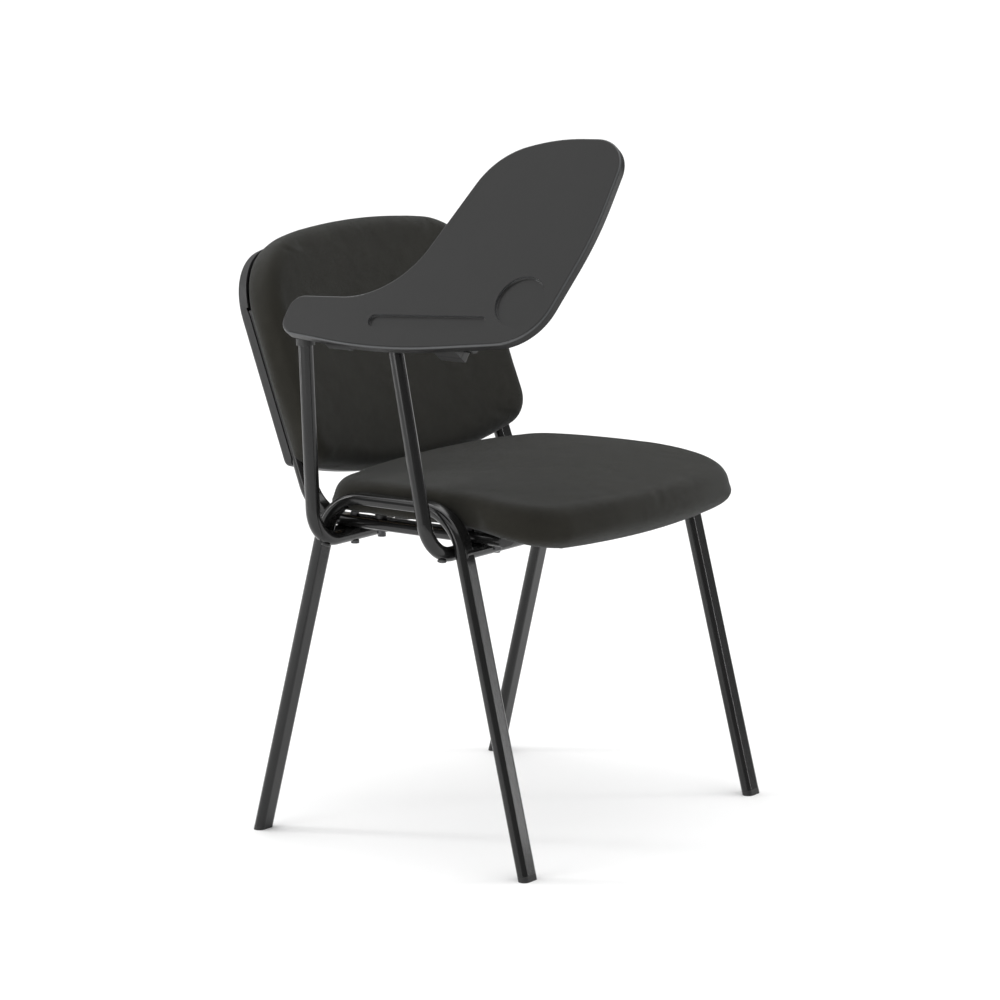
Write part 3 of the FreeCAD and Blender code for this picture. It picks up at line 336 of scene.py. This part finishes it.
plug_plastic = moulded_black(
    "plug_plastic",
    dark=(0.012, 0.012, 0.012),
    light=(0.022, 0.022, 0.022),
    rough=0.42,
    grain=2200,
    depth=0.00006,
)
dressed(
    plug_plastic,
    "leg_plugs",
    "support_plugs",
    "arm_plugs",
    "drain_plugs",
    "post_collar",
    "seat_spacers",
    "hinge_clamps_upper",
    "hinge_clamps_lower",
    "hinge_bushes",
)


# Fixings. Zinc plated steel inserts, screws and stepped brackets, and black
# oxide steel bolts, washers and nuts under the seat.

def zinc_plate():
    finish = Finish("zinc_plate")
    place = finish.place()
    bloom = finish.noise(place, 300, 3)
    lines = finish.noise(place, 500, 2, (1, 1, 12))
    colour = finish.between(bloom, (0.46, 0.46, 0.44), (0.70, 0.70, 0.68))
    return finish.done(
        Base_Color=colour,
        Metallic=1.0,
        Roughness=0.24 + bloom * 0.22,
        Normal=finish.raised(lines, 0.00003),
    )


zinc = zinc_plate()
dressed(
    zinc,
    "seat_inserts",
    "back_screws",
    "back_inserts",
    "shell_screws",
    "arm_brackets",
    "bracket_screws",
    "clamp_screws",
)


def black_oxide():
    finish = Finish("black_oxide_steel")
    place = finish.place()
    oil = finish.noise(place, 200, 3)
    lines = finish.noise(place, 700, 2, (1, 1, 10))
    colour = finish.between(oil, (0.055, 0.055, 0.058), (0.115, 0.115, 0.118))
    return finish.done(
        Base_Color=colour,
        Metallic=1.0,
        Roughness=0.34 + oil * 0.2,
        Normal=finish.raised(lines, 0.00003),
    )


dressed(black_oxide(), "seat_bolts", "seat_washers", "arm_bolts", "arm_nuts")


# Seat and back boards. Pressed birch plywood, left bare inside the upholstery.

def birch_plywood():
    finish = Finish("birch_plywood")
    place = finish.place()
    grain = finish.noise(place, 60, 4, (9, 1, 9))
    flecks = finish.noise(place, 420, 2, (4, 0.5, 4))
    x, y, z = finish.axes(place)
    plies = (z * 4400).wave() * 0.5 + 0.5
    tone = grain * 0.55 + flecks * 0.2 + plies * 0.25
    colour = finish.between(tone, (0.42, 0.28, 0.15), (0.70, 0.54, 0.34))
    return finish.done(Base_Color=colour, Roughness=0.62, Normal=finish.raised(grain, 0.0002))


dressed(birch_plywood(), "seat_board", "back_board")


# Seat cushion. Cut foam on the board under one piece of woven cloth, pulled
# over the rounded edge and turned in under the board all round.

HALVINGS = 34
RIM_STEP = 1e-2


class PadOutline:
    """A pad's outline about its middle: bowed sides with rounded corners between."""

    def __init__(self, half, side_bow, rear, front):
        self.half = half
        self.ends = (rear, front)
        reach = half - side_bow
        self.side_radius = (rear["chord"] ** 2 + side_bow ** 2) / (2 * side_bow)
        self.side_middle = Vector((half - self.side_radius, 0))
        for end in self.ends:
            end["arc"] = (reach ** 2 + end["bow"] ** 2) / (2 * end["bow"])
            end["middle"] = Vector((0, end["chord"] + end["bow"] - end["arc"]))
            end["corner"] = self.corner(end)

    def corner(self, end):
        """The middle of the rounding between a side and an end."""
        first, second = end["arc"] - end["radius"], self.side_radius - end["radius"]
        across = self.side_middle - end["middle"]
        apart = across.length
        along = (first ** 2 - second ** 2 + apart ** 2) / (2 * apart)
        aside = math.sqrt(first ** 2 - along ** 2)
        across = across / apart
        square = Vector((-across.y, across.x)) * aside
        foot = end["middle"] + across * along
        return max(foot + square, foot - square, key=lambda place: place.y)

    def holds(self, place, end):
        """Whether a place in the quarter that leads to an end is inside the outline."""
        across = place - end["corner"]
        side = end["corner"] - self.side_middle
        top = end["corner"] - end["middle"]
        if side.cross(across) > 0 and across.cross(top) > 0:
            return across.length < end["radius"]
        in_end = (place - end["middle"]).length < end["arc"]
        return in_end and (place - self.side_middle).length < self.side_radius

    def rim(self, u, v):
        """The outline's point in the direction (u, v)."""
        end = self.ends[0] if v > 0 else self.ends[1]
        way = Vector((abs(u), abs(v))).normalized()
        near, far = 0.0, 4 * self.half
        for _ in range(HALVINGS):
            middle = (near + far) / 2
            if self.holds(way * middle, end):
                near = middle
            else:
                far = middle
        return Vector((math.copysign(way.x, u), math.copysign(way.y, v))) * near

    def rim_and_outward(self, u, v):
        """The outline's point in the direction (u, v), and its outward normal."""
        small = RIM_STEP
        ahead = self.rim(u - small * v, v + small * u)
        behind = self.rim(u + small * v, v - small * u)
        along = (ahead - behind).normalized()
        return self.rim(u, v), Vector((along.y, -along.x))


def pad_grid(rings, outline, placed):
    """A grid laid over an outline, with the cloth's own lengths as its UV map."""
    mesh = bmesh.new()
    cloth_map = mesh.loops.layers.uv.new("cloth")
    bmesh.ops.create_grid(mesh, x_segments=2 * rings, y_segments=2 * rings, size=1)
    laid = {}
    for vertex in mesh.verts:
        u, v = vertex.co.x, vertex.co.y
        share = max(abs(u), abs(v), 1e-6)
        rim, outward = outline.rim_and_outward(u / share, v / share)
        vertex.co, laid[vertex] = placed(share, rim, outward)
    for face in mesh.faces:
        for loop in face.loops:
            loop[cloth_map].uv = laid[loop.vert]
    return mesh


PAD_RINGS = 46
SEAT_MIDDLE = stand + Vector((0, -0.03905, 0))
SEAT_HALF = 0.2457
SEAT_SIDE_BOW = 0.0051
SEAT_CHORD = 0.17145
seat_outline = PadOutline(
    SEAT_HALF,
    SEAT_SIDE_BOW,
    rear={"chord": SEAT_CHORD, "bow": 0.0043, "radius": 0.0483},
    front={"chord": SEAT_CHORD, "bow": 0.0337, "radius": 0.0903},
)
SEAT_TOP = 0.4882
SEAT_CROWN_RADIUS = 3.136
SEAT_RIM = 0.4348
SEAT_FRONT = 0.20515
SEAT_ROUND = 0.0206
SEAT_CORNER_ROUND = 0.008
SEAT_CORNER_FROM = 0.45
SEAT_CORNER_SPAN = 0.5
SEAT_SIDE_SWELL = 0.0071
SEAT_TUCK = 0.009
SEAT_TUCK_FRONT = 0.0274
SEAT_FACE_RUN = 0.22
SEAT_FRONT_FALL = 0.0218
SEAT_FALL_FROM = -0.060
SEAT_FALL_LENGTH = 0.184
SEAT_BEND_FROM = -0.0716
SEAT_BEND_RADIUS = 0.303
SEAT_BEND_SLOPE = math.radians(13.7)
BOARD_BEND_FROM = -0.115
BOARD_BEND_RADIUS = 0.200
BOARD_BEND_SLOPE = math.radians(14)
COVER_THICK = 0.002
board_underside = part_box("seat_spacers")[1].z + COVER_THICK
FRAME_ROOM = 0.2420
FRAME_REACH = 0.122
FRAME_SPREAD = 0.35
HEM_TURN = 0.015
HEM_FLAT = 0.010
HEM_BELOW_BOARD = 0.0006
FOAM_BED = 0.003


def drop(y, start, radius, slope):
    """How far a strip that bends down at the front has fallen."""
    run = max(0.0, start - y)
    arc = min(run, radius * math.sin(slope))
    return radius - math.sqrt(radius ** 2 - arc ** 2) + (run - arc) * math.tan(slope)


def seat_top(place):
    """The height of the seat's crowned top, which falls towards its front."""
    y = SEAT_MIDDLE.y - stand.y + place.y
    fall = SEAT_FRONT_FALL * (max(0.0, SEAT_FALL_FROM - y) / SEAT_FALL_LENGTH) ** 2
    return SEAT_TOP - place.length_squared / (2 * SEAT_CROWN_RADIUS) - fall


def board_under(place):
    """The height of the seat board's underside."""
    y = SEAT_MIDDLE.y - stand.y + place.y
    return board_underside - drop(y, BOARD_BEND_FROM, BOARD_BEND_RADIUS, BOARD_BEND_SLOPE)


def frontness(rim):
    """From 0 at the seat's middle to 1 at its front edge."""
    return min(1.0, max(0.0, -rim.y / SEAT_FRONT))


def seat_tuck(rim):
    """How far the cloth's lower edge is pulled in under the pad."""
    return SEAT_TUCK + SEAT_TUCK_FRONT * frontness(rim) ** 4


def seat_at(spread, height):
    """A place on the pad, held in between the side frames."""
    y = SEAT_MIDDLE.y - stand.y + spread.y
    room = FRAME_ROOM + FRAME_SPREAD * max(0.0, abs(y) - FRAME_REACH)
    across = math.copysign(min(abs(spread.x), room), spread.x)
    return Vector((SEAT_MIDDLE.x + across, SEAT_MIDDLE.y + spread.y, height))


def stretch_of(share, run):
    """Which stretch of a profile a share of its whole length is in, and how far."""
    left = share * sum(run)
    for index, length in enumerate(run):
        if left <= length or index == len(run) - 1:
            return index, min(1.0, left / length)
        left -= length


def seat_placed(share, rim, outward):
    """The place on the seat cushion of a share of the way from its middle to its hem."""
    cornered = abs(rim.x * rim.y) / (SEAT_HALF * SEAT_CHORD)
    corner = min(1.0, max(0.0, (cornered - SEAT_CORNER_FROM) / SEAT_CORNER_SPAN))
    rounding = SEAT_ROUND + SEAT_CORNER_ROUND * corner ** 2 * (3 - 2 * corner)
    inner = rim - outward * rounding
    side_top = seat_top(inner) - rounding
    world_y = SEAT_MIDDLE.y - stand.y + rim.y
    side_foot = SEAT_RIM - drop(world_y, SEAT_BEND_FROM, SEAT_BEND_RADIUS, SEAT_BEND_SLOPE)
    side = side_top - side_foot
    run = [SEAT_FACE_RUN, rounding * math.pi / 2, side, HEM_TURN, HEM_FLAT]
    stretch, part = stretch_of(share, run)
    flat = inner * (part if stretch == 0 else 1.0)
    hang = sum(run[1:stretch]) + run[stretch] * part if stretch else 0.0
    cloth = flat + outward * hang
    if stretch == 0:
        return seat_at(flat, seat_top(flat)), cloth
    if stretch == 1:
        turn = part * math.pi / 2
        spread = inner + outward * (rounding * math.sin(turn))
        return seat_at(spread, side_top + rounding * math.cos(turn)), cloth
    tuck = seat_tuck(rim)
    if stretch == 2:
        up = 1 - part
        spread = rim + outward * (SEAT_SIDE_SWELL * math.sin(math.pi * up) - tuck * part ** 2)
        return seat_at(spread, side_foot + side * up), cloth
    if stretch == 3:
        spread = rim - outward * (tuck + HEM_TURN * part)
        hem = board_under(spread) - HEM_BELOW_BOARD
        rise = (hem - side_foot) * (1 - (1 - part) ** 2)
        return seat_at(spread, side_foot + rise), cloth
    spread = rim - outward * (tuck + HEM_TURN + HEM_FLAT * part)
    return seat_at(spread, board_under(spread) - HEM_BELOW_BOARD), cloth


def seat_closing(share, rim, outward):
    """The pad's face on the board, inside the board's underside."""
    hem = rim - outward * (seat_tuck(rim) + HEM_TURN + HEM_FLAT)
    spread = hem * share
    lift = -HEM_BELOW_BOARD if share > 0.999 else FOAM_BED
    return seat_at(spread, board_under(spread) + lift), spread


PUFF_STEPS = 20


def puffed(made, pinned, pressure, cap):
    """Runs cloth under pressure from inside, and keeps each point near its start."""
    start = [vertex.co.copy() for vertex in made.data.vertices]
    group = made.vertex_groups.new(name="hem")
    group.add(pinned, 1.0, "REPLACE")
    cloth = made.modifiers.new("cloth", "CLOTH")
    cloth.settings.quality = 5
    cloth.settings.mass = 0.3
    cloth.settings.tension_stiffness = 25
    cloth.settings.compression_stiffness = 25
    cloth.settings.shear_stiffness = 10
    cloth.settings.bending_stiffness = 4
    cloth.settings.use_pressure = True
    cloth.settings.uniform_pressure_force = pressure
    cloth.settings.vertex_group_mass = "hem"
    cloth.settings.effector_weights.gravity = 0
    cloth.point_cache.frame_start = 1
    cloth.point_cache.frame_end = PUFF_STEPS
    for step in range(1, PUFF_STEPS + 1):
        scene.frame_set(step)
    settled = made.evaluated_get(bpy.context.evaluated_depsgraph_get())
    moved = [vertex.co.copy() for vertex in settled.data.vertices]
    made.modifiers.remove(cloth)
    made.vertex_groups.remove(group)
    scene.frame_set(1)
    for vertex, before, after in zip(made.data.vertices, start, moved):
        shift = after - before
        if shift.length > cap:
            shift *= cap / shift.length
        vertex.co = before + shift


def woven_cloth():
    finish = Finish("black_woven_cloth")
    across, along, _ = finish.axes(finish.place("UV"))
    thread = 2 * math.pi / 0.0013
    warp = (across * thread).wave()
    weft = (along * thread).wave()
    weave = warp * weft
    place = finish.place()
    slubs = finish.noise(place, 700, 2, (1, 5, 1)) + finish.noise(place, 700, 2, (5, 1, 1))
    clouds = finish.noise(place, 9, 3)
    wear_and_painted_highlight = finish.noise(place, 38, 4)
    fuzz = finish.noise(place, 3000, 2)
    lint = (finish.noise(place, 420, 1) - 0.76).highest(0) * 9
    tone = clouds * 0.26 + wear_and_painted_highlight * 0.26 + slubs * 0.24 + weave * 0.10 - 0.05
    colour = finish.between(tone + lint, (0.0078, 0.0073, 0.0058), (0.038, 0.036, 0.029))
    height = weave * 0.5 + slubs * 0.35 + fuzz * 0.3
    creases = finish.raised(wear_and_painted_highlight * 0.3 + clouds, 0.0030)
    threads = {"Height": height, "Distance": 0.00025, "Normal": creases}
    return finish.done(
        Base_Color=colour,
        Roughness=0.92,
        Specular_IOR_Level=0.12,
        Sheen_Weight=0.16,
        Sheen_Roughness=0.4,
        Sheen_Tint=(0.92, 0.96, 1.0, 1.0),
        Normal=finish.add("ShaderNodeBump", inputs=threads),
    )


cloth_black = woven_cloth()
PUFF_PRESSURE = 2.5
PUFF_CAP = 0.0018


def upholstered(name, node, outline, placed, closing):
    """A cloth pad: laid on its form, puffed, closed on its board and made smooth."""
    grid = pad_grid(PAD_RINGS, outline, placed)
    grid.verts.index_update()
    hem = [vertex.index for vertex in grid.verts if vertex.is_boundary]
    pad = shown(name, grid, cloth_black, "chair")
    puffed(pad, hem, PUFF_PRESSURE, PUFF_CAP)
    closed = bmesh.new()
    closed.from_mesh(pad.data)
    behind = pad_grid(PAD_RINGS, outline, closing)
    bmesh.ops.reverse_faces(behind, faces=behind.faces)
    behind_data = bpy.data.meshes.new("behind")
    behind.to_mesh(behind_data)
    behind.free()
    closed.from_mesh(behind_data)
    bpy.data.meshes.remove(behind_data)
    bmesh.ops.remove_doubles(closed, verts=closed.verts, dist=2e-5)
    closed.to_mesh(pad.data)
    closed.free()
    pad.data.shade_smooth()
    rounds = pad.modifiers.new("rounds", "SUBSURF")
    rounds.levels = rounds.render_levels = 1
    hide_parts(node)


upholstered("seat_cushion_cloth", "seat_cushion", seat_outline, seat_placed, seat_closing)


# Seat under-cover. Thin black non-woven lining, pulled tight over the turned-in
# cloth and stapled to the board's underside all round.

def lining_cloth():
    finish = Finish("black_lining")
    place = finish.place()
    fibres = finish.noise(place, 500, 4)
    clouds = finish.noise(place, 30, 3)
    tone = clouds * 0.5 + fibres * 0.5
    colour = finish.between(tone, (0.010, 0.010, 0.010), (0.030, 0.030, 0.030))
    return finish.done(Base_Color=colour, Roughness=0.95, Normal=finish.raised(fibres, 0.0003))


LINING_INSET = 0.007
LINING_BELOW = 0.0012
LINING_SAG = 0.0022
SAG_HALF_WIDE = 0.16
SAG_HALF_DEEP = 0.13
LINING_PUCKER = 0.0005
LINING_RINGS = 40
STAPLES = 44


def lining_placed(share, rim, outward):
    """The place on the lining, sagging in its middle and puckered between its staples."""
    edge = rim - outward * (seat_tuck(rim) + LINING_INSET)
    spread = edge * share
    turn = math.atan2(rim.y, rim.x)
    pucker = LINING_PUCKER * math.sin(turn * STAPLES) * share ** 12
    across = max(0.0, 1 - (spread.x / SAG_HALF_WIDE) ** 2)
    along = max(0.0, 1 - (spread.y / SAG_HALF_DEEP) ** 2)
    sag = LINING_SAG * across * along
    return seat_at(spread, board_under(spread) - LINING_BELOW - sag + pucker), spread


lining_grid = pad_grid(LINING_RINGS, seat_outline, lining_placed)
bmesh.ops.reverse_faces(lining_grid, faces=lining_grid.faces)
lining = shown("seat_lining", lining_grid, lining_cloth(), "chair")
lining_wall = lining.modifiers.new("wall", "SOLIDIFY")
lining_wall.thickness = 0.0006
lining_wall.offset = 0

STAPLE_LONG = 0.011
STAPLE_WIRE = 0.0009
STAPLE_PLACE = 0.972
STAPLE_PROUD = 0.0006
staple_wire = bmesh.new()
for index in range(STAPLES):
    turn = 2 * math.pi * index / STAPLES
    rim, outward = seat_outline.rim_and_outward(math.cos(turn), math.sin(turn))
    place, _ = lining_placed(STAPLE_PLACE, rim, outward)
    along = Vector((-outward.y, outward.x, 0))
    bar = bmesh.ops.create_cube(staple_wire, size=1)["verts"]
    aside = Vector((outward.x, outward.y, 0))
    turned = Matrix((along, aside, Vector((0, 0, 1)))).transposed().to_4x4()
    sized = Matrix.Diagonal((STAPLE_LONG, STAPLE_WIRE, STAPLE_WIRE, 1))
    lowered = Matrix.Translation(place - Vector((0, 0, STAPLE_PROUD)))
    bmesh.ops.transform(staple_wire, matrix=lowered @ turned @ sized, verts=bar)
staples = shown("lining_staples", staple_wire, zinc, "chair")
staples.data.shade_flat()
staple_edges = staples.modifiers.new("edges", "BEVEL")
staple_edges.width = 0.0002
staple_edges.segments = 2
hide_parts("seat_cover")


# Back cushion. Cut foam on the curved board under the same cloth, deep at the
# sides, with its rim pulled in against the moulded shell behind it.

BACK_LEAN = math.radians(20.5)
BACK_FOOT = stand + Vector((0, 0.2046, 0.4769))
BACK_CURVE = 2.6
BACK_HALF_SIDE = 0.1405
BACK_HALF = 0.2415
BACK_SIDE_BOW = 0.0002
BACK_TOP_BOW = 0.0334
BACK_FOOT_BOW = 0.0316
back_outline = PadOutline(
    BACK_HALF,
    BACK_SIDE_BOW,
    rear={"chord": BACK_HALF_SIDE, "bow": BACK_TOP_BOW, "radius": 0.114},
    front={"chord": BACK_HALF_SIDE, "bow": BACK_FOOT_BOW, "radius": 0.044},
)
BACK_REAR = 0.0162
BACK_THICK = 0.0647
BACK_CROWN = 0.003
BACK_ROUND = 0.018
BACK_HEM = 0.010
SHELL_INSET = 0.0056
shell_outline = PadOutline(
    BACK_HALF - SHELL_INSET,
    BACK_SIDE_BOW,
    rear={"chord": BACK_HALF_SIDE - SHELL_INSET, "bow": BACK_TOP_BOW, "radius": 0.0894},
    front={"chord": BACK_HALF_SIDE - SHELL_INSET, "bow": BACK_FOOT_BOW, "radius": 0.0094},
)
JOINT_SHARE = 0.998
BACK_SIDE_SWELL = 0.0010
BACK_FACE_RUN = 0.21
BACK_CROWN_REACH = 0.172


def back_place(across, up, depth):
    """A place on the leaning, curved backrest."""
    forward = BACK_CURVE - math.sqrt((BACK_CURVE - depth) ** 2 - across ** 2)
    up = up + BACK_HALF_SIDE
    return Vector((
        BACK_FOOT.x + across,
        BACK_FOOT.y + up * math.sin(BACK_LEAN) - forward * math.cos(BACK_LEAN),
        BACK_FOOT.z + up * math.cos(BACK_LEAN) + forward * math.sin(BACK_LEAN),
    ))


def back_placed(share, rim, outward):
    """The place on the back cushion of a share of the way from its middle to its hem."""
    inner = rim - outward * BACK_ROUND
    side = BACK_THICK - BACK_REAR - BACK_ROUND
    run = [BACK_FACE_RUN, BACK_ROUND * math.pi / 2, side, BACK_HEM]
    stretch, part = stretch_of(share, run)
    flat = inner * (part if stretch == 0 else 1.0)
    hang = sum(run[1:stretch]) + run[stretch] * part if stretch else 0.0
    front = BACK_THICK - BACK_CROWN * (flat.y / BACK_CROWN_REACH) ** 2
    spread, depth = flat, front
    if stretch == 1:
        turn = part * math.pi / 2
        spread = inner + outward * (BACK_ROUND * math.sin(turn))
        depth = front - BACK_ROUND * (1 - math.cos(turn))
    shell_rim = shell_outline.rim(rim.x, rim.y) * JOINT_SHARE
    if stretch == 2:
        swell = BACK_SIDE_SWELL * math.sin(part * math.pi)
        spread = rim.lerp(shell_rim, part ** 3) + outward * swell
        depth = front - BACK_ROUND + (BACK_REAR - front + BACK_ROUND) * part
    if stretch == 3:
        spread = shell_rim - outward * (BACK_HEM * part)
        depth = BACK_REAR
    return back_place(spread.x, spread.y, depth), flat + outward * hang


def back_closing(share, rim, outward):
    """The pad's face on its board."""
    hem = (shell_outline.rim(rim.x, rim.y) * JOINT_SHARE - outward * BACK_HEM) * share
    return back_place(hem.x, hem.y, BACK_REAR), hem


upholstered("back_cushion_cloth", "back_cushion", back_outline, back_placed, back_closing)


# Back shell. Injection moulded black polypropylene, satin with a fine grain,
# screwed to the back board from behind.

shell_plastic = moulded_black(
    "shell_plastic",
    dark=(0.010, 0.010, 0.0105),
    light=(0.017, 0.017, 0.0175),
    rough=0.40,
    grain=1500,
    depth=0.0001,
)
dressed(shell_plastic, "back_shell")


# Writing tablet. One satin black moulding with a rounded edge, a cup recess and
# a pen groove, ribbed underneath and clamped to the hinge bar.

TABLET_TILT = math.radians(54)
TABLET_FACE_WAY = Vector((-math.sin(TABLET_TILT), 0, math.cos(TABLET_TILT)))
tablet_face = max(TABLET_FACE_WAY.dot(vertex.co) for vertex in nodes["tablet"].data.vertices)


def tablet_black():
    """The moulding's black, with a painted highlight: a paler band where its face turns down at an
    edge.
    """
    finish = Finish("tablet_plastic")
    place = finish.place()
    x, y, z = finish.axes(place)
    depth = tablet_face - (x * TABLET_FACE_WAY.x + z * TABLET_FACE_WAY.z)
    begun = (depth * 1600 - 0.3).highest(0).lowest(1)
    ended = (2.2 - depth * 700).highest(0).lowest(1)
    clouds = finish.noise(place, 22, 3)
    scuffs = finish.noise(place, 90, 3, (1, 7, 1))
    shade = clouds * 0.6 + scuffs * 0.4
    plain = finish.between(shade, (0.0052, 0.0052, 0.0052), (0.0088, 0.0088, 0.0086))
    # Painted highlight: a pale band on the rounded edge just under the face, standing in for the
    # lamps' reflection there.
    wear_and_painted_highlight = finish.between(begun * ended, (0, 0, 0), (0.060, 0.062, 0.064))
    colour = finish.add(
        "ShaderNodeMix",
        {"data_type": "RGBA", "blend_type": "ADD"},
        {0: 1.0, 6: plain, 7: wear_and_painted_highlight},
        output=2,
    )
    pits = finish.noise(place, 1800, 2)
    return finish.done(
        Base_Color=colour,
        Roughness=clouds * 0.06 + scuffs * 0.06 + 0.27,
        Specular_IOR_Level=0.3,
        Normal=finish.raised(pits, 0.00005),
    )


dressed(tablet_black(), "tablet")
